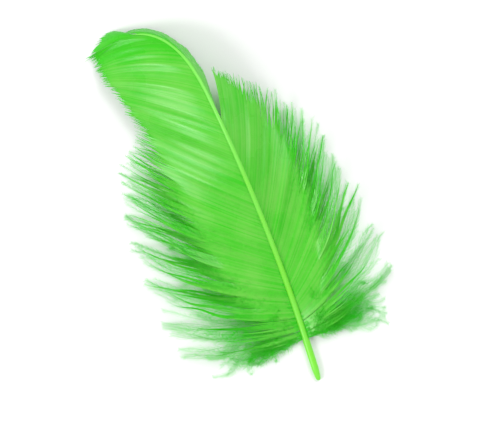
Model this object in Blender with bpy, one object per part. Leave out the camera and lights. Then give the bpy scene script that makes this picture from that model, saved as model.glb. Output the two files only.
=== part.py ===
"""A dyed body feather, lying on a flat surface with its outer side up.

The feather is one grown piece: a bare quill, a shaft that arches up and curls
to the left at its tip, and 66 locks of barbs fused to that shaft. The locks
stand side by side: joined in smooth vanes near the shaft, parted at their tips,
and loose at the base, where every other one springs up from the surface.

Metres, +Z up. The origin is on the surface, under the middle of the bare quill,
and the shaft runs from there towards +Y. Left is -X.
"""

import math

import bmesh
import bpy
import numpy as np

MM = 0.001

# Shaft. Its places are told by how far they lie along it, seen from above, from
# where the barbs begin: the quill is at distances below zero.
QUILL_LENGTH = 7.5 * MM
RACHIS_LENGTH = 64.0 * MM
QUILL_RADIUS = 0.62 * MM
QUILL_END_RADIUS = 0.30 * MM
QUILL_TAPER = 2.0 * MM
RACHIS_BASE_RADIUS = 0.56 * MM
RACHIS_TIP_RADIUS = 0.20 * MM
SHAFT_SIDES = 8
SHAFT_STEP = 2.5 * MM

# Course of the shaft seen from above: a slow lean to the left, then the curl.
LEAN = math.radians(8.0)
LEAN_REACH = 46.0 * MM
CURL = math.radians(68.0)
CURL_START = 42.0 * MM
CURL_POWER = 2.6

# Course of the shaft seen from the side: up to the crest, then down to the tip.
CREST_HEIGHT = 9.5 * MM
CREST_AT = 44.0 * MM
TIP_FALL = 5.0 * MM

# Barbs, at a few distances along the shaft: how long a barb is seen from above,
# its angle from the shaft at its root and at its tip, the height of its tip, how
# far it bulges upwards on its way, and the share of it that is joined to the
# next one. Distances, lengths and heights in mm, angles in degrees.
BARB_COLUMNS = ("distance", "length", "root_angle", "tip_angle", "tip_height", "bulge", "joined")
LEFT_BARBS = (
    (0.0, 21.0, 98.0, 76.0, 0.2, 2.6, 0.12),
    (4.0, 25.0, 78.0, 62.0, 0.2, 2.4, 0.22),
    (8.0, 28.0, 64.0, 52.0, 0.2, 2.0, 0.32),
    (14.0, 29.0, 54.0, 46.0, 0.2, 1.2, 0.47),
    (22.0, 27.0, 48.0, 42.0, 0.2, 0.6, 0.57),
    (28.0, 21.5, 44.0, 40.0, 1.0, 0.2, 0.80),
    (36.0, 20.0, 44.0, 46.0, 2.5, 0.0, 0.92),
    (44.0, 20.0, 44.0, 58.0, 2.6, 0.0, 0.94),
    (50.0, 17.5, 46.0, 72.0, 1.6, 0.0, 0.94),
    (56.0, 15.5, 38.0, 70.0, 0.9, 0.0, 0.93),
    (60.0, 13.0, 22.0, 60.0, 0.5, 0.0, 0.90),
    (64.0, 10.0, 4.0, 30.0, 0.2, 0.0, 0.85),
)
RIGHT_BARBS = (
    (0.0, 18.0, 92.0, 68.0, 0.2, 2.6, 0.12),
    (4.0, 22.0, 62.0, 46.0, 0.2, 2.2, 0.25),
    (9.0, 25.0, 46.0, 34.0, 0.2, 1.5, 0.42),
    (15.0, 26.0, 38.0, 32.0, 0.2, 1.0, 0.56),
    (21.0, 23.0, 33.0, 25.0, 0.6, 0.5, 0.75),
    (27.0, 20.0, 29.0, 19.0, 1.6, 0.3, 0.80),
    (34.0, 15.5, 25.0, 16.0, 3.2, 0.0, 0.85),
    (41.0, 9.5, 20.0, 13.0, 5.5, 0.0, 0.88),
)
# Past the split, the right vane folds down behind the curled crest.
FOLDED_BARBS = (
    (42.0, 8.5, 5.0, 12.0, 3.5, 0.0, 0.90),
    (50.0, 7.5, 8.0, 14.0, 1.6, 0.0, 0.90),
    (57.0, 6.5, 10.0, 16.0, 0.6, 0.0, 0.88),
    (64.0, 5.0, 10.0, 20.0, 0.2, 0.0, 0.80),
)
# Every other loose lock springs up from the surface and turns towards the tip of
# the feather. How high its tip stands and how far it turns, in mm and degrees, at
# a few distances along the shaft in mm.
LOFT_COLUMNS = ("distance", "height", "turn")
LOFT = (
    (0.0, 6.5, 14.0),
    (10.0, 5.5, 11.0),
    (20.0, 3.0, 6.0),
    (30.0, 0.0, 0.0),
)

# The stretch of the shaft and the number of locks of each vane. The right vane is
# split from its folded end by a narrow wedge.
LEFT_VANE = {"first": 0.5 * MM, "last": 63.5 * MM, "count": 34}
RIGHT_VANE = {"first": 0.5 * MM, "last": 41.0 * MM, "count": 24}
FOLDED_VANE = {"first": 42.5 * MM, "last": 63.5 * MM, "count": 8}
# Above 1, locks stand closer together towards the base of the feather.
CROWDING = 1.15
EVEN = 1.0

LEFT, RIGHT = 1.0, -1.0
VANE_POWER = 1.6
VANE_THICKNESS = 0.4 * MM
ROOT_OVERLAP = 0.12 * MM
LOCK_TIP_SHARE = 0.15
LOCK_TAPER_POWER = 1.4
JOINED_ROWS = 5
LOOSE_ROWS = 4
SHARP_ANGLE = math.radians(40.0)
PATH_STEPS = 48
PATH_SPACING = 0.25 * MM
TABLE_REACH = 3.0 * MM
TABLE_READINGS = 7

FEATHER_COLOUR = (0.075, 0.60, 0.045, 1.0)
FEATHER_ROUGHNESS = 0.55


def smooth_rise(share):
    """0 to 1 with a level start and end."""
    share = np.clip(share, 0.0, 1.0)
    return share * share * (3.0 - 2.0 * share)


def heading(distance):
    """How far the shaft has turned left of +Y."""
    lean = LEAN * np.clip(distance / LEAN_REACH, 0.0, 1.0)
    curl = np.clip((distance - CURL_START) / (RACHIS_LENGTH - CURL_START), 0.0, None)
    return lean + CURL * curl**CURL_POWER


def shaft_radius(distance):
    """The distance from the shaft's middle to its flat sides."""
    along_quill = np.clip((distance + QUILL_LENGTH) / QUILL_TAPER, 0.0, 1.0)
    quill = QUILL_END_RADIUS + (QUILL_RADIUS - QUILL_END_RADIUS) * np.sqrt(along_quill)
    along = np.clip(distance / RACHIS_LENGTH, 0.0, 1.0)
    rachis = RACHIS_BASE_RADIUS + (RACHIS_TIP_RADIUS - RACHIS_BASE_RADIUS) * along
    return np.where(distance < 0.0, quill, rachis)


def shaft_height(distance):
    """Height of the shaft's middle. The quill's underside lies on the surface."""
    rise = smooth_rise(distance / CREST_AT)
    rest = shaft_radius(np.minimum(distance, 0.0))
    fall = np.clip((distance - CREST_AT) / (RACHIS_LENGTH - CREST_AT), 0.0, None)
    return rest + (CREST_HEIGHT - rest) * rise - TIP_FALL * fall**2


def shaft_course():
    """Distances along the shaft and its middle's x and y there."""
    far = RACHIS_LENGTH * 1.25
    distances = np.arange(-QUILL_LENGTH, far, PATH_SPACING)
    turn = heading(distances + PATH_SPACING / 2)
    x = np.concatenate([[0.0], np.cumsum(-np.sin(turn) * PATH_SPACING)[:-1]])
    y = np.concatenate([[0.0], np.cumsum(np.cos(turn) * PATH_SPACING)[:-1]])
    return distances, x, y - QUILL_LENGTH / 2


COURSE = shaft_course()


def shaft_point(distance):
    distances, x, y = COURSE
    return np.array([
        np.interp(distance, distances, x),
        np.interp(distance, distances, y),
        shaft_height(distance),
    ])


def table_values(table, columns, distance):
    """The table's values at this distance, by the names of its columns. Each is a
    mean over a short stretch of the shaft, so that no row leaves a crease."""
    rows = np.array(table)
    around = (distance + np.linspace(-TABLE_REACH, TABLE_REACH, TABLE_READINGS)) / MM
    return {name: float(np.interp(around, rows[:, 0], rows[:, i]).mean()) for i, name in enumerate(columns)}


class Barb:
    """The middle line of a barb, seen as a share of its length from root to tip."""

    def __init__(self, side, table, distance, follow, springs):
        """With follow at 1 the barb turns with the shaft beside it, and with 0 it
        keeps its own course. One that springs rises past its joined stretch."""
        barb = table_values(table, BARB_COLUMNS, distance)
        loft = table_values(LOFT, LOFT_COLUMNS, distance)
        self.joined = barb["joined"]
        self.shares = np.linspace(0.0, 1.0, PATH_STEPS + 1)
        length = barb["length"] * MM
        root = shaft_point(distance)
        middles = (self.shares[1:] + self.shares[:-1]) / 2
        own = barb["root_angle"] + (barb["tip_angle"] - barb["root_angle"]) * middles
        own = own - springs * loft["turn"] * self.loose(middles)
        turn = heading(distance + follow * middles * length) + side * np.radians(own)
        step = length / PATH_STEPS
        inward = side * ROOT_OVERLAP
        start = heading(distance)
        x = root[0] + math.cos(start) * inward + np.concatenate([[0.0], np.cumsum(-np.sin(turn) * step)])
        y = root[1] + math.sin(start) * inward + np.concatenate([[0.0], np.cumsum(np.cos(turn) * step)])
        z = root[2] + (barb["tip_height"] * MM - root[2]) * self.shares**VANE_POWER
        z = z + barb["bulge"] * MM * 4.0 * self.shares * (1.0 - self.shares)
        z = np.maximum(z, VANE_THICKNESS / 2) + springs * loft["height"] * MM * self.loose(self.shares)
        self.points = np.stack([x, y, z], axis=1)

    def loose(self, share):
        """How far along its loose stretch a share is: 0 where joined, 1 at the tip."""
        return np.clip((share - self.joined) / (1.0 - self.joined), 0.0, 1.0)

    def row(self, number):
        """The barb's point on a row of its lock, rows 0 to JOINED_ROWS being joined."""
        if number <= JOINED_ROWS:
            share = self.joined * number / JOINED_ROWS
        else:
            share = self.joined + (1.0 - self.joined) * (number - JOINED_ROWS) / LOOSE_ROWS
        return np.array([np.interp(share, self.shares, self.points[:, k]) for k in range(3)])


def lock_width(number):
    """The share of its full width that a lock has on a row: all of it while joined."""
    loose = max(number - JOINED_ROWS, 0) / LOOSE_ROWS
    return 1.0 - (1.0 - LOCK_TIP_SHARE) * loose**LOCK_TAPER_POWER


def comb_of_locks(name, side, table, vane, follow, crowding):
    """A vane: locks side by side, each a strip two faces wide from the shaft to its
    own tip. Neighbours share their edge as far as they are joined."""
    first, last, count = vane["first"], vane["last"], vane["count"]
    edges = first + (last - first) * np.linspace(0.0, 1.0, count + 1) ** crowding
    mesh = bmesh.new()
    shared = []
    for distance in edges:
        edge = Barb(side, table, distance, follow, 0.0)
        shared.append([mesh.verts.new(edge.row(number)) for number in range(JOINED_ROWS + 1)])
    for k in range(count):
        springs = float(k % 2)
        near, centre, far = (
            Barb(side, table, distance, follow, springs)
            for distance in (edges[k], (edges[k] + edges[k + 1]) / 2, edges[k + 1])
        )
        strip = []
        for number in range(JOINED_ROWS + LOOSE_ROWS + 1):
            middle = centre.row(number)
            if number <= JOINED_ROWS:
                strip.append((shared[k][number], mesh.verts.new(middle), shared[k + 1][number]))
                continue
            width = lock_width(number)
            one = middle + (near.row(number) - middle) * width
            other = middle + (far.row(number) - middle) * width
            strip.append([mesh.verts.new(point) for point in (one, middle, other)])
        for row, following in zip(strip, strip[1:]):
            for part in range(2):
                mesh.faces.new((row[part], row[part + 1], following[part + 1], following[part]))
    return hidden_helper(name, mesh)


def place(name, mesh):
    """An object for a finished mesh, shaded smooth but for its sharp edges."""
    data = bpy.data.meshes.new(name)
    mesh.to_mesh(data)
    mesh.free()
    data.shade_smooth()
    data.set_sharp_from_angle(angle=SHARP_ANGLE)
    placed = bpy.data.objects.new(name, data)
    bpy.context.scene.collection.objects.link(placed)
    return placed


def hidden_helper(name, mesh):
    """A body that only joins the feather, and isn't a node of its own."""
    helper = place(name, mesh)
    thicken = helper.modifiers.new("thickness", "SOLIDIFY")
    thicken.thickness = VANE_THICKNESS
    thicken.offset = 0.0
    helper.display_type = "WIRE"
    helper.hide_render = True
    return helper


def shaft_ring(mesh, distance):
    """One ring of the shaft's corners, square to its course, with a flat side down."""
    turn = heading(distance)
    slope = math.atan2(
        shaft_height(distance + PATH_SPACING) - shaft_height(distance - PATH_SPACING), 2 * PATH_SPACING
    )
    if distance < 0.0:
        slope = 0.0
    to_left = np.array([-math.cos(turn), -math.sin(turn), 0.0])
    upward = np.array([math.sin(turn) * math.sin(slope), -math.cos(turn) * math.sin(slope), math.cos(slope)])
    corner = shaft_radius(distance) / math.cos(math.pi / SHAFT_SIDES)
    middle = shaft_point(distance)
    ring = []
    for k in range(SHAFT_SIDES):
        angle = 2.0 * math.pi * (k + 0.5) / SHAFT_SIDES
        ring.append(mesh.verts.new(middle + corner * (to_left * math.sin(angle) + upward * math.cos(angle))))
    return ring


def make_shaft(name):
    """The quill and the rachis, as one tapering rod with closed ends."""
    quill_stations = [-QUILL_LENGTH, -QUILL_LENGTH + QUILL_TAPER / 3, -QUILL_LENGTH + QUILL_TAPER, 0.0]
    count = round(RACHIS_LENGTH / SHAFT_STEP)
    stations = quill_stations + [RACHIS_LENGTH * (k + 1) / count for k in range(count)]
    mesh = bmesh.new()
    rings = [shaft_ring(mesh, distance) for distance in stations]
    for ring, following in zip(rings, rings[1:]):
        for k in range(SHAFT_SIDES):
            after = (k + 1) % SHAFT_SIDES
            mesh.faces.new((ring[k], ring[after], following[after], following[k]))
    mesh.faces.new(rings[0])
    mesh.faces.new(rings[-1])
    bmesh.ops.recalc_face_normals(mesh, faces=mesh.faces)
    return place(name, mesh)


def feather_material():
    material = bpy.data.materials.new("dyed_feather")
    material.use_nodes = True
    shader = material.node_tree.nodes["Principled BSDF"]
    shader.inputs["Base Color"].default_value = FEATHER_COLOUR
    shader.inputs["Roughness"].default_value = FEATHER_ROUGHNESS
    shader.inputs["Metallic"].default_value = 0.0
    return material


def main():
    for old in list(bpy.data.objects):
        bpy.data.objects.remove(old)
    feather = make_shaft("feather")
    combs = (
        comb_of_locks("left_vane_locks", LEFT, LEFT_BARBS, LEFT_VANE, 0.0, CROWDING),
        comb_of_locks("right_vane_locks", RIGHT, RIGHT_BARBS, RIGHT_VANE, 1.0, CROWDING),
        comb_of_locks("folded_vane_locks", RIGHT, FOLDED_BARBS, FOLDED_VANE, 1.0, EVEN),
    )
    for comb in combs:
        join = feather.modifiers.new(comb.name, "BOOLEAN")
        join.operation = "UNION"
        join.object = comb
    feather.data.materials.append(feather_material())


main()
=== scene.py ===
"""A dyed body feather lying on a white floor, built barb by barb.

The shaft and the vanes follow the same named values as the feather's solid. Each barb is a
closed blade: side by side with its neighbours near the shaft, and loose and fringed with
barbules towards its tip. Metres, +Z up, +Y along the quill, and left is -X.
"""

import math

import bpy
import numpy as np
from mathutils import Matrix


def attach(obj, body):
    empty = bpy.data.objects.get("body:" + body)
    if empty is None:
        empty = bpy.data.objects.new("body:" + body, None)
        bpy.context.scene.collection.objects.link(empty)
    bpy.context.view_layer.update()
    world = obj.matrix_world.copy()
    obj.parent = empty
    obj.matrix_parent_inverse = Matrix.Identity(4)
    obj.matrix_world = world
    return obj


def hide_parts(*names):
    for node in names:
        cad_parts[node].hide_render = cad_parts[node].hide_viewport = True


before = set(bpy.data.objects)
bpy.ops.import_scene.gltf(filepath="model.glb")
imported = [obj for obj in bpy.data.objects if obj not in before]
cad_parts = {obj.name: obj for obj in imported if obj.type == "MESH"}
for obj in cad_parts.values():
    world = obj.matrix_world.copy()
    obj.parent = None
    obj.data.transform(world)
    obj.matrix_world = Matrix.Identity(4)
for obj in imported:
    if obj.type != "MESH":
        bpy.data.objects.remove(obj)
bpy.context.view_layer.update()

MM = 0.001
random = np.random.default_rng(7)

# Shaft, as in the solid. Distances run along it, seen from above.
QUILL_LENGTH = 7.5 * MM
RACHIS_LENGTH = 64.0 * MM
QUILL_RADIUS = 0.62 * MM
QUILL_END_RADIUS = 0.30 * MM
QUILL_TAPER = 2.0 * MM
RACHIS_BASE_RADIUS = 0.56 * MM
RACHIS_TIP_RADIUS = 0.20 * MM
LEAN = math.radians(8.0)
LEAN_REACH = 46.0 * MM
CURL = math.radians(68.0)
CURL_START = 42.0 * MM
CURL_POWER = 2.6
CREST_HEIGHT = 9.5 * MM
CREST_AT = 44.0 * MM
TIP_FALL = 5.0 * MM
PATH_SPACING = 0.25 * MM
COURSE_END = RACHIS_LENGTH * 1.25

# Barbs, as in the solid: lengths and heights in mm, angles in degrees.
BARB_COLUMNS = ("distance", "length", "root_angle", "tip_angle", "tip_height", "bulge", "joined")
LEFT_BARBS = (
    (0.0, 21.0, 98.0, 76.0, 0.2, 2.6, 0.12),
    (4.0, 25.0, 78.0, 62.0, 0.2, 2.4, 0.22),
    (8.0, 28.0, 64.0, 52.0, 0.2, 2.0, 0.32),
    (14.0, 29.0, 54.0, 46.0, 0.2, 1.2, 0.47),
    (22.0, 27.0, 48.0, 42.0, 0.2, 0.6, 0.57),
    (28.0, 21.5, 44.0, 40.0, 1.0, 0.2, 0.80),
    (36.0, 20.0, 44.0, 46.0, 2.5, 0.0, 0.92),
    (44.0, 20.0, 44.0, 58.0, 2.6, 0.0, 0.94),
    (50.0, 17.5, 46.0, 72.0, 1.6, 0.0, 0.94),
    (56.0, 15.5, 38.0, 70.0, 0.9, 0.0, 0.93),
    (60.0, 13.0, 22.0, 60.0, 0.5, 0.0, 0.90),
    (64.0, 10.0, 4.0, 30.0, 0.2, 0.0, 0.85),
)
RIGHT_BARBS = (
    (0.0, 18.0, 92.0, 68.0, 0.2, 2.6, 0.12),
    (4.0, 22.0, 62.0, 46.0, 0.2, 2.2, 0.25),
    (9.0, 25.0, 46.0, 34.0, 0.2, 1.5, 0.42),
    (15.0, 26.0, 38.0, 32.0, 0.2, 1.0, 0.56),
    (21.0, 23.0, 33.0, 25.0, 0.6, 0.5, 0.75),
    (27.0, 20.0, 29.0, 19.0, 1.6, 0.3, 0.80),
    (34.0, 15.5, 25.0, 16.0, 3.2, 0.0, 0.85),
    (41.0, 9.5, 20.0, 13.0, 5.5, 0.0, 0.88),
)
# Past the split, the right vane folds down behind the curled crest.
FOLDED_BARBS = (
    (42.0, 8.5, 5.0, 12.0, 3.5, 0.0, 0.90),
    (50.0, 7.5, 8.0, 14.0, 1.6, 0.0, 0.90),
    (57.0, 6.5, 10.0, 16.0, 0.6, 0.0, 0.88),
    (64.0, 5.0, 10.0, 20.0, 0.2, 0.0, 0.80),
)
# Every other loose lock springs up from the floor and turns towards the feather's tip:
# how high its tip stands in mm, and how far it turns in degrees.
LOFT_COLUMNS = ("distance", "height", "turn")
LOFT = (
    (0.0, 6.5, 14.0),
    (10.0, 5.5, 11.0),
    (20.0, 3.0, 6.0),
    (30.0, 0.0, 0.0),
)
# Each vane's stretch of the shaft and its number of locks. With crowding above 1 they
# stand closer together towards the base.
LEFT_VANE = {"first": 0.5 * MM, "last": 63.5 * MM, "count": 34}
RIGHT_VANE = {"first": 0.5 * MM, "last": 41.0 * MM, "count": 24}
FOLDED_VANE = {"first": 42.5 * MM, "last": 63.5 * MM, "count": 8}
CROWDING = 1.15
EVEN = 1.0
LEFT, RIGHT = 1.0, -1.0
VANE_POWER = 1.6
TABLE_REACH = 3.0 * MM
TABLE_READINGS = 7
LOCK_TIP_SHARE = 0.15
LOCK_TAPER_POWER = 1.4

# Ripples that run along the vanes: wavelength in mm, size and phase of each wave.
RIPPLES = (
    (9.1, 0.45, 0.4),
    (5.3, 0.35, 2.1),
    (2.9, 0.20, 4.4),
)
RIPPLE_START = 8.0 * MM
RIPPLE_HEIGHT = 0.30 * MM
RIPPLE_TURN = 2.2
RIPPLE_POWER = 0.8
RIPPLE_SHIFT = 2.0

# Tip barbs fan out from the shaft's end, between the left vane and the folded one. The
# two rows lie past both ends of the fan, so that its barbs turn evenly from one to the
# other.
TIP_FAN = {"first": 63.2 * MM, "last": 64.2 * MM, "count": 3}
TIP_BARBS = (
    (60.2, 27.5, 123.0, 220.0, 0.2, 0.0, 0.82),
    (67.2, -12.0, -136.0, -190.0, 0.2, 0.0, 0.82),
)
TIP_SPACING = 0.09 * MM

# Blades: one a barb, wide where the vane holds together, and narrow past the point
# where they part. Parting is given as a share of the loose stretch.
BARB_SPACING = 0.26 * MM
BARB_STEPS = 30
BARB_RIDGE = 0.020 * MM
BARB_FREE_WIDTH = 0.040 * MM
BARB_OVERLAP = 1.30
BARB_TILT = math.radians(3.5)
BARB_END = 0.3
WIDTH_LOST = 0.6
RIDGE_LOST = 0.4
PARTING = (-0.15, 0.55)
PARTING_LENGTH = 0.65
FLOOR_CLEARANCE = 0.08 * MM
ROOT_DEPTH = 0.6
SHARP_EDGE = math.radians(60.0)
# Past the first of these distances the barbs' tone drops, so the green deepens towards the tip: painted
# shade for the tip, which lies out of the light.
TIP_PAINTED_SHADE = (50.0 * MM, 60.0 * MM)

# How untidy the barbs are: their lengths, their turns in degrees, how far each lock
# draws together, and the waves along their loose stretch. Pairs are limits of what is
# drawn at random.
TIDIER = 0.75
TIDIER_OVER = (20.0 * MM, 36.0 * MM)
LENGTH_CHANGE = 0.07
LENGTH_MEAN = -0.3
LENGTH_LIMITS = (-2.0, 0.6)
STRAY_TURN = 9.0
STRAY_SIDES = (-1.6, 0.7)
RAGGED_BASE = 7.0 * MM
RAGGED_TURN = 16.0
RAGGED_SIDES = (-0.7, 1.0)
RAGGED_PARTING = 0.6
LOCK_GATHER = (-0.2, 0.7)
LOOSE_WAVE = 0.30 * MM
LOOSE_WAVE_LENGTH = 11.0 * MM
WAVE_SIZES = (0.2, 1.6)
WAVE_LENGTHS = (0.7, 1.3)
WAVE_SCATTER = 0.9
LIFT_PHASE = 1.7

# Barbules: their length is long at the base and short towards the tip. Angles are in
# degrees from the barb.
BARBULE_WIDTH = 0.050 * MM
BARBULE_TAPER = (1.0, 0.75, 0.25)
BARBULE_LENGTHS = (1.5 * MM, 0.5 * MM)
BARBULE_SHORTER = (12.0 * MM, 34.0 * MM)
BARBULE_SIZES = (0.6, 1.1)
BARBULE_SCATTER = 10.0
BARBULE_CURL = (1.15, 0.6)
START_CHANGE = (0.3, 3.0)
FUZZ_EARLIER = 0.28
FIRST_SHARE = 0.1
LAST_SHARE = 0.995
FIRST_SIZE = 0.3
GROWN_OVER = 0.25
SHORTER_AT_TIP = 0.55
TIP_STRETCH = (0.6, 1.0)
FRINGE = {"start": 0.10, "spacing": 0.16 * MM, "spread": 40.0, "roll": 18.0}
FLUFF = {"start": 0.15, "spacing": 0.13 * MM, "spread": 58.0, "roll": 22.0}

# Down at the base, below the vanes. Turns are in degrees, and the lowest barbs turn out
# the most.
DOWN_COUNT = 110
DOWN_START = 0.2 * MM
DOWN_REACH = 25.0 * MM
DOWN_CROWDING = 2.2
DOWN_LENGTHS = (0.3, 0.82)
DOWN_SPRINGS = (-0.1, 0.25)
DOWN_TURNS = (-28.0, 24.0)
DOWN_OUTWARD = 40.0
DOWN_LOWEST = 6.0 * MM
DOWN_WAVES = (1.2, 2.6)
DOWN_SWING = (0.5, 1.6)
DOWN_LIFT = (0.3, 1.0)
DOWN_BELOW = 1.2 * MM
DOWN_SINKS_BY = 0.25
DOWN_RADIUS = 0.035 * MM
DOWN_TAPER = 0.7

# The shaft's rings, its pointed tip, the dimple in the quill's end, and the groove that
# runs under the rachis.
SHAFT_SIDES = 24
SHAFT_RINGS = 112
SHAFT_READINGS = 200
QUILL_RINGS = 9
SHAFT_END = RACHIS_LENGTH + 1.2 * MM
POINTED_END = 2.4 * MM
POINT_SHARE = 0.02
DIMPLE_DEPTHS = (0.45, 0.12, 0.0)
DIMPLE_RADII = (0.30, 0.45, 0.75)
GROOVE_DEPTH = 0.35
GROOVE_WIDTH = 0.45
GROOVE_DEEPENS = (2.0 * MM, 10.0 * MM)
SHAFT_SHARP_EDGE = math.radians(70.0)

# Green of the keratin: patches, and how much a barb's own tone counts.
PATCH_SCALE = 160.0
PATCH_DETAIL = 3.0
TONE_SHARE = 0.4
DARK_AT, LIGHT_AT = 0.35, 1.0
ROUGHNESS_RANGE = 0.25


def smooth_rise(share):
    """0 to 1 with a level start and end."""
    share = np.clip(share, 0.0, 1.0)
    return share * share * (3.0 - 2.0 * share)


def rise_between(values, span):
    """0 before the span, a smooth rise along it, and 1 past it."""
    return smooth_rise((values - span[0]) / (span[1] - span[0]))


def heading(distance):
    """How far the shaft has turned left of +Y."""
    lean = LEAN * np.clip(distance / LEAN_REACH, 0.0, 1.0)
    curl = np.clip((distance - CURL_START) / (RACHIS_LENGTH - CURL_START), 0.0, None)
    return lean + CURL * curl**CURL_POWER


def shaft_radius(distance):
    """The shaft's radius: a blunt quill end, then a slow taper to the tip."""
    along_quill = np.clip((distance + QUILL_LENGTH) / QUILL_TAPER, 0.0, 1.0)
    quill = QUILL_END_RADIUS + (QUILL_RADIUS - QUILL_END_RADIUS) * np.sqrt(along_quill)
    along = np.clip(distance / RACHIS_LENGTH, 0.0, 1.0)
    rachis = RACHIS_BASE_RADIUS + (RACHIS_TIP_RADIUS - RACHIS_BASE_RADIUS) * along
    return np.where(distance < 0.0, quill, rachis)


def shaft_height(distance):
    """Height of the shaft's middle. The quill's underside lies on the floor."""
    rise = smooth_rise(distance / CREST_AT)
    rest = shaft_radius(np.minimum(distance, 0.0))
    fall = np.clip((distance - CREST_AT) / (RACHIS_LENGTH - CREST_AT), 0.0, None)
    return rest + (CREST_HEIGHT - rest) * rise - TIP_FALL * fall**2


def shaft_course():
    """Distances along the shaft and its middle's x and y there."""
    distances = np.arange(-QUILL_LENGTH, COURSE_END, PATH_SPACING)
    turn = heading(distances + PATH_SPACING / 2)
    x = np.concatenate([[0.0], np.cumsum(-np.sin(turn) * PATH_SPACING)[:-1]])
    y = np.concatenate([[0.0], np.cumsum(np.cos(turn) * PATH_SPACING)[:-1]])
    return distances, x, y - QUILL_LENGTH / 2


COURSE = shaft_course()


def shaft_points(distances):
    """Middles of the shaft at these distances."""
    known, x, y = COURSE
    level = [np.interp(distances, known, x), np.interp(distances, known, y)]
    return np.stack([*level, shaft_height(distances)], 1)


def table_values(table, columns, distances):
    """The table's values at these distances, each a mean over a short stretch."""
    rows = np.array(table)
    around = (distances[:, None] + np.linspace(-TABLE_REACH, TABLE_REACH, TABLE_READINGS)) / MM
    return {name: np.interp(around, rows[:, 0], rows[:, i]).mean(axis=1) for i, name in enumerate(columns)}


def ripple(distances, shift):
    """A smooth wave along the shaft, between about -1 and 1."""
    total = np.zeros(len(distances))
    for length, size, phase in RIPPLES:
        total += size * np.sin(2.0 * math.pi * (distances - RIPPLE_START) / (length * MM) + phase * shift)
    return total


def unit(vectors):
    return vectors / np.maximum(np.linalg.norm(vectors, axis=-1, keepdims=True), 1e-12)


def loose_share(shares, joined):
    """How far along its loose stretch each point is: 0 where joined, 1 at the tip."""
    return np.clip((shares[None, :] - joined[:, None]) / (1.0 - joined[:, None]), 0.0, 1.0)


def column(values, count):
    """One value a barb, as a column."""
    return np.broadcast_to(values, (count,))[:, None]


def barb_paths(side, table, distances, follow, springs, longer=1.0, turned=0.0):
    """Middle lines of the barbs rooted at these distances: (barb, step, xyz). The last
    two lengthen each barb, and turn its loose stretch by that many degrees."""
    count = len(distances)
    barb = table_values(table, BARB_COLUMNS, distances)
    loft = table_values(LOFT, LOFT_COLUMNS, distances)
    shares = np.linspace(0.0, 1.0, BARB_STEPS + 1)
    middles = (shares[1:] + shares[:-1]) / 2
    length = barb["length"] * MM * longer
    roots = shaft_points(distances)
    bend = loose_share(middles, barb["joined"])
    own = barb["root_angle"][:, None] + (barb["tip_angle"] - barb["root_angle"])[:, None] * middles
    own = own - column(springs * loft["turn"], count) * bend + column(turned, count) * bend
    own = own + RIPPLE_TURN * ripple(distances, side)[:, None] * middles
    beside = heading(distances[:, None] + follow * middles * length[:, None])
    turn = beside + side * np.radians(own)
    step = (length / BARB_STEPS)[:, None]
    start = heading(distances)
    outward = side * shaft_radius(distances) * ROOT_DEPTH
    nothing = np.zeros((count, 1))
    x = (roots[:, 0] - np.cos(start) * outward)[:, None]
    y = (roots[:, 1] - np.sin(start) * outward)[:, None]
    x = x + np.concatenate([nothing, np.cumsum(-np.sin(turn) * step, axis=1)], axis=1)
    y = y + np.concatenate([nothing, np.cumsum(np.cos(turn) * step, axis=1)], axis=1)
    fall = (barb["tip_height"] * MM - roots[:, 2])[:, None]
    z = roots[:, 2][:, None] + fall * shares**VANE_POWER
    z = z + (barb["bulge"] * MM)[:, None] * 4.0 * shares * (1.0 - shares)
    rippled = RIPPLE_HEIGHT * ripple(distances, side + RIPPLE_SHIFT)[:, None]
    z = z + rippled * np.sin(math.pi * shares**RIPPLE_POWER)
    loose = loose_share(shares, barb["joined"])
    z = np.maximum(z, FLOOR_CLEARANCE) + column(springs * loft["height"] * MM, count) * loose
    return np.stack([x, y, z], axis=2), loose


def carried_on(paths, longer):
    """Each path cut short, or carried straight on, to this many times its length."""
    count, steps, _ = paths.shape
    place = np.arange(steps) * longer[:, None]
    low = np.minimum(place.astype(int), steps - 2)
    part = (place - low)[:, :, None]
    barb = np.arange(count)[:, None]
    return paths[barb, low] * (1.0 - part) + paths[barb, low + 1] * part


def lock_edges(vane, crowding):
    shares = np.linspace(0.0, 1.0, vane["count"] + 1)
    return vane["first"] + (vane["last"] - vane["first"]) * shares**crowding


def frames(paths):
    """Directions along each path, level across it, and up from it."""
    forward = unit(np.gradient(paths, axis=1))
    across = unit(np.cross(forward, np.array([0.0, 0.0, 1.0])))
    return forward, across, np.cross(across, forward)


def above_floor(paths):
    """The paths, held clear of the floor."""
    paths[..., 2] = np.maximum(paths[..., 2], FLOOR_CLEARANCE)
    return paths


def rings(centres, wide, tall, sides):
    """Corners of a ring about every centre: (strand, step, corner, xyz)."""
    angles = 2.0 * math.pi * np.arange(sides) / sides
    turned = wide[:, :, None, :] * np.cos(angles)[:, None] + tall[:, :, None, :] * np.sin(angles)[:, None]
    return centres[:, :, None, :] + turned


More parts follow.
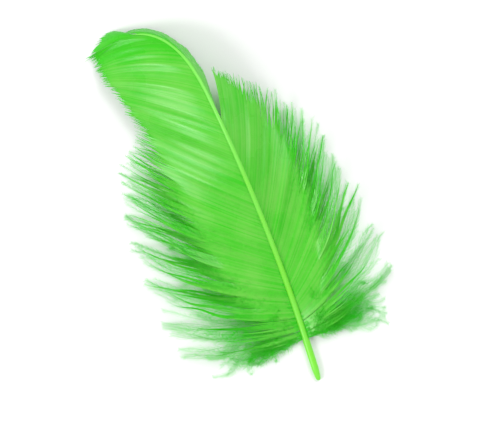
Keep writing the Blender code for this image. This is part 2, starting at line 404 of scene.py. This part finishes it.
def cell_map(count, steps, sides):
    """A place on the texture map for every corner of every strand's walls and ends.
    Each strand has a cell of its own, with its sides next to each other across it."""
    columns = max(1, round(math.sqrt(count)))
    rows = math.ceil(count / columns)
    cell = np.array([1.0 / columns, 1.0 / rows])
    strand = np.arange(count)
    corner = np.stack([strand % columns, strand // columns], 1) * cell
    margin = 0.08
    end = 0.10
    disc_reach = 0.35
    gap = 0.01
    u = margin + (1.0 - 2.0 * margin) * np.arange(sides + 1) / sides
    v = margin + end + (1.0 - 2.0 * (margin + end)) * np.arange(steps) / (steps - 1)
    s, t = np.meshgrid(np.arange(sides), np.arange(steps - 1))
    wall = np.stack([
        np.stack([u[s], v[t]], -1), np.stack([u[s + 1], v[t]], -1),
        np.stack([u[s + 1], v[t + 1]], -1), np.stack([u[s], v[t + 1]], -1),
    ], axis=-2).reshape(-1, 2)
    angles = 2.0 * math.pi * np.arange(sides) / sides
    disc = np.stack([0.5 + disc_reach * np.cos(angles), end / 2 * np.sin(angles)], 1)
    first = disc[::-1] + [0.0, margin + end / 2 - gap]
    last = disc + [0.0, 1.0 - margin - end / 2 + gap]
    walls = corner[:, None, :] + wall[None] * cell
    starts = corner[:, None, :] + first[None] * cell
    ends = corner[:, None, :] + last[None] * cell
    return np.concatenate([walls.reshape(-1, 2), starts.reshape(-1, 2), ends.reshape(-1, 2)])


def strands(name, corners, values, sharp=None):
    """One mesh of closed strands with these rings of corners. values are numbers kept
    on its points for the material, each (strand, step) or (strand,)."""
    count, steps, sides, _ = corners.shape
    corners = corners.copy()
    corners[..., 2] = np.maximum(corners[..., 2], 0.0)
    index = np.arange(count * steps * sides).reshape(count, steps, sides)
    after = np.roll(index, -1, axis=2)
    walls = np.stack([index[:, :-1], after[:, :-1], after[:, 1:], index[:, 1:]], axis=-1).reshape(-1, 4)
    starts = index[:, 0, ::-1].reshape(-1, sides)
    ends = index[:, -1, :].reshape(-1, sides)
    flat = np.concatenate([walls.ravel(), starts.ravel(), ends.ravel()])
    sizes = np.concatenate([np.full(len(walls), 4), np.full(2 * count, sides)])
    mesh = bpy.data.meshes.new(name)
    mesh.vertices.add(count * steps * sides)
    mesh.vertices.foreach_set("co", corners.astype(np.float32).ravel())
    mesh.loops.add(len(flat))
    mesh.loops.foreach_set("vertex_index", flat.astype(np.int32))
    mesh.polygons.add(len(sizes))
    firsts = np.concatenate([[0], np.cumsum(sizes)[:-1]])
    mesh.polygons.foreach_set("loop_start", firsts.astype(np.int32))
    mesh.update()
    places = mesh.uv_layers.new(name="OFBake")
    places.uv.foreach_set("vector", cell_map(count, steps, sides).astype(np.float32).ravel())
    for title, value in values.items():
        attribute = mesh.attributes.new(title, "FLOAT", "POINT")
        while value.ndim < 3:
            value = value[..., None]
        spread = np.broadcast_to(value, (count, steps, sides))
        attribute.data.foreach_set("value", spread.astype(np.float32).ravel())
    mesh.shade_smooth()
    if sharp:
        mesh.set_sharp_from_angle(angle=sharp)
    piece = bpy.data.objects.new(name, mesh)
    bpy.context.scene.collection.objects.link(piece)
    return piece


def ragged(distances):
    """1 at the foot of the vane, where the barbs are untidiest, and 0 further up."""
    return 1.0 - smooth_rise(distances / RAGGED_BASE)


def strayed(distances, stray):
    """How many times its usual length each barb is, and how far it turns aside."""
    count = len(distances)
    untidy = stray * (1.0 - TIDIER * rise_between(distances, TIDIER_OVER))
    changes = np.clip(random.normal(LENGTH_MEAN, 1.0, count), *LENGTH_LIMITS)
    longer = 1.0 + LENGTH_CHANGE * untidy * changes
    turned = STRAY_TURN * stray * random.uniform(*STRAY_SIDES, count) * random.uniform(0.0, 1.0, count) ** 2
    turned = turned + RAGGED_TURN * ragged(distances) * random.uniform(*RAGGED_SIDES, count)
    return longer, turned


def waved(paths, loose, table, distances, span, lock, stray):
    """The barbs' paths with a gentle wave, nearly the same one all through a lock."""
    count = len(distances)
    _, across, upward = frames(paths)
    length = table_values(table, BARB_COLUMNS, distances)["length"][:, None] * MM
    reach = np.linspace(0.0, 1.0, BARB_STEPS + 1) * length
    phase = random.uniform(0.0, 2.0 * math.pi, span["count"])[lock]
    phase = phase + random.normal(0.0, WAVE_SCATTER, count)
    wave = 2.0 * math.pi * reach / (LOOSE_WAVE_LENGTH * random.uniform(*WAVE_LENGTHS, (count, 1)))
    strength = LOOSE_WAVE * stray * loose * random.uniform(*WAVE_SIZES, (count, 1))
    swing = strength * np.sin(wave + phase[:, None])
    lift = strength * np.cos(wave + LIFT_PHASE * phase[:, None])
    return above_floor(paths + across * swing[:, :, None] + upward * lift[:, :, None])


def blades(paths, loose, side, apart, width, distances):
    """Corners of the barbs' blades. apart is half the step to the next barb, and width
    is how far each lock has drawn together there."""
    forward = unit(np.gradient(paths, axis=1))
    upward = side * unit(np.cross(apart, forward))
    across = unit(np.cross(forward, upward))
    half = np.linalg.norm(apart - forward * (apart * forward).sum(-1, keepdims=True), axis=-1)
    parting = random.uniform(*PARTING, (len(paths), 1)) - RAGGED_PARTING * ragged(distances)[:, None]
    sheet = half * BARB_OVERLAP * (1.0 - smooth_rise((loose - parting) / PARTING_LENGTH))
    half = np.maximum(sheet * width, BARB_FREE_WIDTH * (1.0 - WIDTH_LOST * loose))
    tip = np.ones(BARB_STEPS + 1)
    tip[-1] = BARB_END
    half = half * tip
    ridge = BARB_RIDGE * (1.0 - RIDGE_LOST * loose) * tip
    tilted = across * math.cos(BARB_TILT) + upward * math.sin(BARB_TILT)
    raised = upward * math.cos(BARB_TILT) - across * math.sin(BARB_TILT)
    return rings(paths, tilted * half[:, :, None], raised * ridge[:, :, None], 4)


def vane(name, side, table, span, spacing, follow, crowding, stray):
    """A vane of closed blades, one a barb, that tile the vane near the shaft and
    draw together into locks past their joined stretch. stray is how untidy it is. Gives
    the piece, and the barbs' paths, loose shares, tones and barbule lengths."""
    count = round((span["last"] - span["first"]) / spacing)
    distances = np.linspace(span["first"], span["last"], count)
    edges = lock_edges(span, crowding)
    lock = np.clip(np.searchsorted(edges, distances, side="right") - 1, 0, span["count"] - 1)
    middle = (edges[lock] + edges[lock + 1]) / 2
    springs = (lock % 2).astype(float)
    longer, turned = strayed(distances, stray)
    nearer, _ = barb_paths(side, table, distances - spacing / 2, follow, springs)
    further, _ = barb_paths(side, table, distances + spacing / 2, follow, springs)
    own, loose = barb_paths(side, table, distances, follow, springs, 1.0, turned)
    own = carried_on(own, longer)
    centre, _ = barb_paths(side, table, middle, follow, springs)
    gather = random.uniform(*LOCK_GATHER, span["count"])[lock]
    width = 1.0 - (1.0 - LOCK_TIP_SHARE) * gather[:, None] * loose**LOCK_TAPER_POWER
    paths = centre + (own - centre) * width[:, :, None]
    paths = waved(paths, loose, table, distances, span, lock, stray)
    corners = blades(paths, loose, side, (further - nearer) / 2, width, distances)
    # Each barb's tone is random, less painted shade towards the tip.
    tone = random.uniform(0.0, 1.0, count) - rise_between(distances, TIP_PAINTED_SHADE)
    piece = strands(name, corners, {"tone": tone, "loose": loose}, SHARP_EDGE)
    shorter = rise_between(distances, BARBULE_SHORTER)
    length = BARBULE_LENGTHS[0] + (BARBULE_LENGTHS[1] - BARBULE_LENGTHS[0]) * shorter
    return piece, (paths, loose, tone, length)


def barbule_roots(paths, loose, length, kind):
    """For every barbule: its barb, its number there, how far along the barb it grows,
    and how far along the barb's first one does."""
    count = len(paths)
    total = np.linalg.norm(np.diff(paths, axis=1), axis=2).sum(axis=1)
    shares = np.linspace(0.0, 1.0, BARB_STEPS + 1)
    starts = kind["start"] * random.uniform(*START_CHANGE, count)
    first = np.array([np.interp(starts[k], loose[k], shares) for k in range(count)])
    downy = (length - BARBULE_LENGTHS[1]) / (BARBULE_LENGTHS[0] - BARBULE_LENGTHS[1])
    first = np.maximum(first - FUZZ_EARLIER * downy * random.uniform(0.0, 1.0, count), FIRST_SHARE)
    number = ((1.0 - first) * total / kind["spacing"]).astype(int)
    barb = np.repeat(np.arange(count), number)
    order = np.arange(number.sum()) - np.repeat(np.cumsum(number) - number, number)
    share = first[barb] + (order + random.uniform(0.0, 1.0, len(barb))) * kind["spacing"] / total[barb]
    return barb, order, np.clip(share, 0.0, LAST_SHARE), first[barb]


def fuzz(name, barbs, kind):
    """Barbules: fine curved spikes along both sides of each barb, past about the point
    where its loose share reaches the kind's start, and earlier on barbs with long ones."""
    paths, loose, tone, length = barbs
    barb, order, share, first = barbule_roots(paths, loose, length, kind)
    low = np.minimum((share * BARB_STEPS).astype(int), BARB_STEPS - 1)
    part = (share * BARB_STEPS - low)[:, None]

    def read(values):
        return values[barb, low] * (1.0 - part) + values[barb, low + 1] * part

    def towards(turn):
        return ahead * np.cos(turn)[:, None] + outward * np.sin(turn)[:, None]

    forward, across, upward = frames(paths)
    root, ahead, beside, above = read(paths), read(forward), read(across), read(upward)
    side = np.where(order % 2 == 0, 1.0, -1.0)
    around = np.radians(random.normal(0.0, kind["roll"], len(barb)))
    outward = beside * (side * np.cos(around))[:, None] + above * np.sin(around)[:, None]
    angle = np.radians(random.normal(kind["spread"], BARBULE_SCATTER, len(barb)))
    size = length[barb] * random.uniform(*BARBULE_SIZES, len(barb))
    size = size * (FIRST_SIZE + (1.0 - FIRST_SIZE) * smooth_rise((share - first) / GROWN_OVER))
    size = size * (1.0 - SHORTER_AT_TIP * rise_between(share, TIP_STRETCH))
    middle = root + towards(angle * BARBULE_CURL[0]) * (size / 2)[:, None]
    end = middle + towards(angle * BARBULE_CURL[1]) * (size / 2)[:, None]
    centres = above_floor(np.stack([root, middle, end], axis=1))
    _, level, up = frames(centres)
    thick = (BARBULE_WIDTH / 2 * np.array(BARBULE_TAPER))[None, :, None]
    corners = rings(centres, level * thick, up * thick, 3)
    return strands(name, corners, {"tone": tone[barb], "loose": share})


def shaft(name):
    """The quill and the rachis as one closed strand, with a dimple in the quill's end
    and a groove under the rachis."""
    ends = -QUILL_LENGTH + QUILL_TAPER * np.linspace(0.0, 1.0, QUILL_RINGS) ** 2
    distances = np.concatenate([ends, np.linspace(ends[-1], SHAFT_END, SHAFT_RINGS)[1:]])
    pointed = np.clip((SHAFT_END - distances) / POINTED_END, POINT_SHARE, 1.0)
    radius = shaft_radius(distances) * np.sqrt(pointed)
    distances = np.concatenate([ends[0] + np.array(DIMPLE_DEPTHS) * MM, distances])
    radius = np.concatenate([radius[0] * np.array(DIMPLE_RADII), radius])
    centres = shaft_points(distances)
    centres[:, 2] = shaft_height(np.minimum(distances, RACHIS_LENGTH))
    known = np.linspace(-QUILL_LENGTH, SHAFT_END, SHAFT_READINGS)
    tangent = unit(np.gradient(shaft_points(known), axis=0))
    forward = np.stack([np.interp(distances, known, tangent[:, k]) for k in range(3)], 1)
    across = unit(np.cross(forward, np.array([0.0, 0.0, 1.0])))
    upward = np.cross(across, forward)
    angles = 2.0 * math.pi * np.arange(SHAFT_SIDES) / SHAFT_SIDES
    grooved = rise_between(distances, GROOVE_DEEPENS)
    below = np.exp(-((angles - 1.5 * math.pi) / GROOVE_WIDTH) ** 2)
    size = radius[:, None] * (1.0 - GROOVE_DEPTH * grooved[:, None] * below[None, :])
    ring = across[:, None, :] * np.cos(angles)[:, None] + upward[:, None, :] * np.sin(angles)[:, None]
    corners = (centres[:, None, :] + ring * size[:, :, None])[None]
    along = (distances / RACHIS_LENGTH)[None]
    return strands(name, corners, {"tone": np.array([0.5]), "loose": along}, SHAFT_SHARP_EDGE)


def down(name, side, table):
    """Downy barbs at the base, rooted at random along the shaft's side. Gives what a
    vane gives."""
    count = DOWN_COUNT
    distances = DOWN_START + DOWN_REACH * random.uniform(0.0, 1.0, count) ** DOWN_CROWDING
    longer = random.uniform(*DOWN_LENGTHS, count)
    springs = random.uniform(*DOWN_SPRINGS, count)
    lowest = 1.0 - smooth_rise(distances / DOWN_LOWEST)
    turned = random.uniform(*DOWN_TURNS, count) + DOWN_OUTWARD * lowest
    paths, _ = barb_paths(side, table, distances, 0.0, springs, longer, turned)
    _, across, upward = frames(paths)
    shares = np.linspace(0.0, 1.0, BARB_STEPS + 1)
    phase = random.uniform(0.0, 2.0 * math.pi, (count, 1))
    wave = 2.0 * math.pi * shares * random.uniform(*DOWN_WAVES, (count, 1))
    swing = random.uniform(*DOWN_SWING, (count, 1)) * MM * shares * np.sin(wave + phase)
    lift = random.uniform(*DOWN_LIFT, (count, 1)) * MM * shares * np.cos(wave + 2.0 * phase)
    paths = paths + across * swing[:, :, None] + upward * lift[:, :, None]
    paths[..., 2] -= DOWN_BELOW * smooth_rise(shares / DOWN_SINKS_BY)
    paths = above_floor(paths)
    _, across, upward = frames(paths)
    thick = (DOWN_RADIUS * (1.0 - DOWN_TAPER * shares))[None, :, None]
    corners = rings(paths, across * thick, upward * thick, 4)
    tone = random.uniform(0.0, 1.0, count)
    loose = np.broadcast_to(shares, (count, BARB_STEPS + 1))
    piece = strands(name, corners, {"tone": tone, "loose": loose})
    return piece, (paths, loose, tone, np.full(count, BARBULE_LENGTHS[0]))


def scaled(nodes, links, source, factor, add):
    """source * factor + add."""
    node = nodes.new("ShaderNodeMath")
    node.operation = "MULTIPLY_ADD"
    node.inputs[1].default_value = factor
    links.new(source, node.inputs[0])
    if isinstance(add, float):
        node.inputs[2].default_value = add
    else:
        links.new(add, node.inputs[2])
    return node.outputs["Value"]


def attribute(nodes, title):
    node = nodes.new("ShaderNodeAttribute")
    node.attribute_name = title
    return node.outputs["Fac"]


def keratin(name, dark, light, roughness, through, loose_shade_and_shaft_tint):
    """Dyed keratin: green that varies in patches and from barb to barb, with part of the light passing
    through. The green also shifts along the loose share: on barbs and down, a deeper green towards the
    loose tips is painted shade, and on the shaft it is the shaft's own tint along its length."""
    made = bpy.data.materials.new(name)
    made.use_nodes = True
    nodes = made.node_tree.nodes
    links = made.node_tree.links
    shader = nodes["Principled BSDF"]
    coordinates = nodes.new("ShaderNodeTexCoord")
    patches = nodes.new("ShaderNodeTexNoise")
    patches.inputs["Scale"].default_value = PATCH_SCALE
    patches.inputs["Detail"].default_value = PATCH_DETAIL
    links.new(coordinates.outputs["Object"], patches.inputs["Vector"])
    patch = patches.outputs["Fac"]
    total = scaled(nodes, links, attribute(nodes, "tone"), TONE_SHARE, patch)
    # Shift along the loose share: painted shade that deepens the green towards the loose tips of barbs and
    # down, and the shaft's own tint along the shaft.
    total = scaled(nodes, links, attribute(nodes, "loose"), loose_shade_and_shaft_tint, total)
    ramp = nodes.new("ShaderNodeValToRGB")
    ramp.color_ramp.elements[0].position = DARK_AT
    ramp.color_ramp.elements[0].color = dark
    ramp.color_ramp.elements[1].position = LIGHT_AT
    ramp.color_ramp.elements[1].color = light
    links.new(total, ramp.inputs["Fac"])
    links.new(ramp.outputs["Color"], shader.inputs["Base Color"])
    rough = scaled(nodes, links, patch, ROUGHNESS_RANGE, roughness - ROUGHNESS_RANGE / 2)
    links.new(rough, shader.inputs["Roughness"])
    glow = nodes.new("ShaderNodeBsdfTranslucent")
    links.new(ramp.outputs["Color"], glow.inputs["Color"])
    mix = nodes.new("ShaderNodeMixShader")
    mix.inputs["Fac"].default_value = through
    links.new(shader.outputs["BSDF"], mix.inputs[1])
    links.new(glow.outputs["BSDF"], mix.inputs[2])
    links.new(mix.outputs["Shader"], nodes["Material Output"].inputs["Surface"])
    return made


def dress(piece, finish):
    piece.data.materials.append(finish)
    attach(piece, "root")
    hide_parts("feather")


def build_feather():
    """Every piece of the feather. A vane's values are its side, barbs, stretch of the
    shaft, barb spacing, whether its barbs turn with the shaft, crowding and untidiness."""
    # On barbs and down, the negative shift with the loose share is painted shade: their loose tips are
    # painted a deeper green.
    barb_green = keratin(
        "barb_green", (0.060, 0.745, 0.010, 1.0), (0.22, 0.80, 0.085, 1.0),
        roughness=0.28, through=0.35, loose_shade_and_shaft_tint=-0.3,
    )
    down_green = keratin(
        "down_green", (0.065, 0.93, 0.020, 1.0), (0.22, 0.97, 0.11, 1.0),
        roughness=0.5, through=0.65, loose_shade_and_shaft_tint=-0.1,
    )
    shaft_green = keratin(
        "shaft_green", (0.26, 0.88, 0.020, 1.0), (0.24, 0.88, 0.10, 1.0),
        roughness=0.3, through=0.2, loose_shade_and_shaft_tint=0.5,
    )
    for label, *build in (
        ("left", LEFT, LEFT_BARBS, LEFT_VANE, BARB_SPACING, 0.0, CROWDING, 1.0),
        ("right", RIGHT, RIGHT_BARBS, RIGHT_VANE, BARB_SPACING, 1.0, CROWDING, 1.1),
        ("folded", RIGHT, FOLDED_BARBS, FOLDED_VANE, BARB_SPACING, 1.0, EVEN, 0.15),
        ("tip", LEFT, TIP_BARBS, TIP_FAN, TIP_SPACING, 0.0, EVEN, 0.15),
    ):
        piece, barbs = vane(f"{label}_vane", *build)
        dress(piece, barb_green)
        dress(fuzz(f"{label}_fringe", barbs, FRINGE), down_green)
    for label, side, table in (("left", LEFT, LEFT_BARBS), ("right", RIGHT, RIGHT_BARBS)):
        piece, barbs = down(f"{label}_down", side, table)
        dress(piece, down_green)
        dress(fuzz(f"{label}_fluff", barbs, FLUFF), down_green)
    dress(shaft("shaft"), shaft_green)


# Camera: straight down, turned so that the quill points as it does in the photo.
VIEW_TURN = math.radians(-17.9)
VIEW_LENS = 135.0
VIEW_WIDTH = 0.0868
SENSOR_WIDTH = 36.0
VIEW_CENTRE = (-0.0035, 0.0290)
VIEW_REACH = 10.0

# Studio, in metres.
LIT_PLACE = (0.0, 0.035, 0.0)
SURROUND = 0.70
FLOOR_REACH = 1.5
FLOOR_WHITE = (0.93, 0.93, 0.93, 1.0)
FLOOR_ROUGHNESS = 0.9


def camera():
    data = bpy.data.cameras.new("camera")
    data.lens = VIEW_LENS
    data.sensor_width = SENSOR_WIDTH
    data.clip_end = VIEW_REACH
    placed = bpy.data.objects.new("camera", data)
    placed.location = (VIEW_CENTRE[0], VIEW_CENTRE[1], VIEW_WIDTH * VIEW_LENS / SENSOR_WIDTH)
    placed.rotation_euler = (0.0, 0.0, VIEW_TURN)
    bpy.context.scene.collection.objects.link(placed)
    bpy.context.scene.camera = placed


def soft_light(name, towards, distance, size, radiance):
    """A square soft box that faces the feather, of this brightness."""
    data = bpy.data.lights.new(name, "AREA")
    data.shape = "SQUARE"
    data.size = size
    data.energy = radiance * size * size * math.pi
    placed = bpy.data.objects.new(name, data)
    direction = np.array(towards) / np.linalg.norm(towards)
    placed.location = np.array(LIT_PLACE) + direction * distance
    placed.rotation_euler = (math.acos(direction[2]), 0.0, math.atan2(direction[0], -direction[1]))
    bpy.context.scene.collection.objects.link(placed)


def white_floor():
    """A wide sheet of white paper."""
    data = bpy.data.meshes.new("floor")
    reach = FLOOR_REACH
    corners = [(-reach, -reach, 0.0), (reach, -reach, 0.0), (reach, reach, 0.0), (-reach, reach, 0.0)]
    data.from_pydata(corners, [], [(0, 1, 2, 3)])
    floor = bpy.data.objects.new("floor", data)
    bpy.context.scene.collection.objects.link(floor)
    paper = bpy.data.materials.new("white_paper")
    paper.use_nodes = True
    shader = paper.node_tree.nodes["Principled BSDF"]
    shader.inputs["Base Color"].default_value = FLOOR_WHITE
    shader.inputs["Roughness"].default_value = FLOOR_ROUGHNESS
    floor.data.materials.append(paper)


def studio():
    """An even white surround, a soft light high to the right, and a smaller one low to
    the left that gives the vane its silky band."""
    world = bpy.data.worlds.new("studio")
    world.use_nodes = True
    background = world.node_tree.nodes["Background"]
    background.inputs["Color"].default_value = (1.0, 1.0, 1.0, 1.0)
    background.inputs["Strength"].default_value = SURROUND
    bpy.context.scene.world = world
    soft_light("key_light", (0.62, 0.42, 0.85), distance=0.7, size=0.34, radiance=5.2)
    soft_light("sheen_light", (-0.76, -0.08, 0.64), distance=0.5, size=0.17, radiance=12.5)
    white_floor()
    bpy.context.scene.view_settings.view_transform = "Standard"


build_feather()
camera()
studio()
